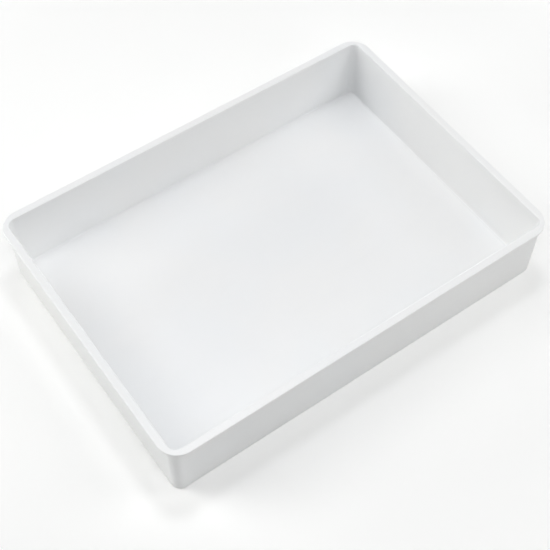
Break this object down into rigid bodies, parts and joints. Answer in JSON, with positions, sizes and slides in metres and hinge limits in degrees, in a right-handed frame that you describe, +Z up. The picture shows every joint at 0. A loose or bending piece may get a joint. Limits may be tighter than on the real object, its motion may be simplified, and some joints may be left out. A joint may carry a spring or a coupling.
{
  "type": "paint roller tray",
  "caption": "Deep rectangular white plastic tray with a flat floor, low drafted walls, rounded corners and a flat rim flange, open at the top to hold paint for a roller.",
  "frame": {"origin": "middle of the underside, in the plane of the foot ring that the tray stands on", "axes": "+X along the length, +Y across the width, +Z up, out of the open mouth"},
  "size_m": [0.38, 0.27, 0.0655],
  "materials": {
    "tray_plastic": "satin"
  },
  "bodies": {
    "root": {"tray": "tray_plastic"}
  },
  "joints": []
}
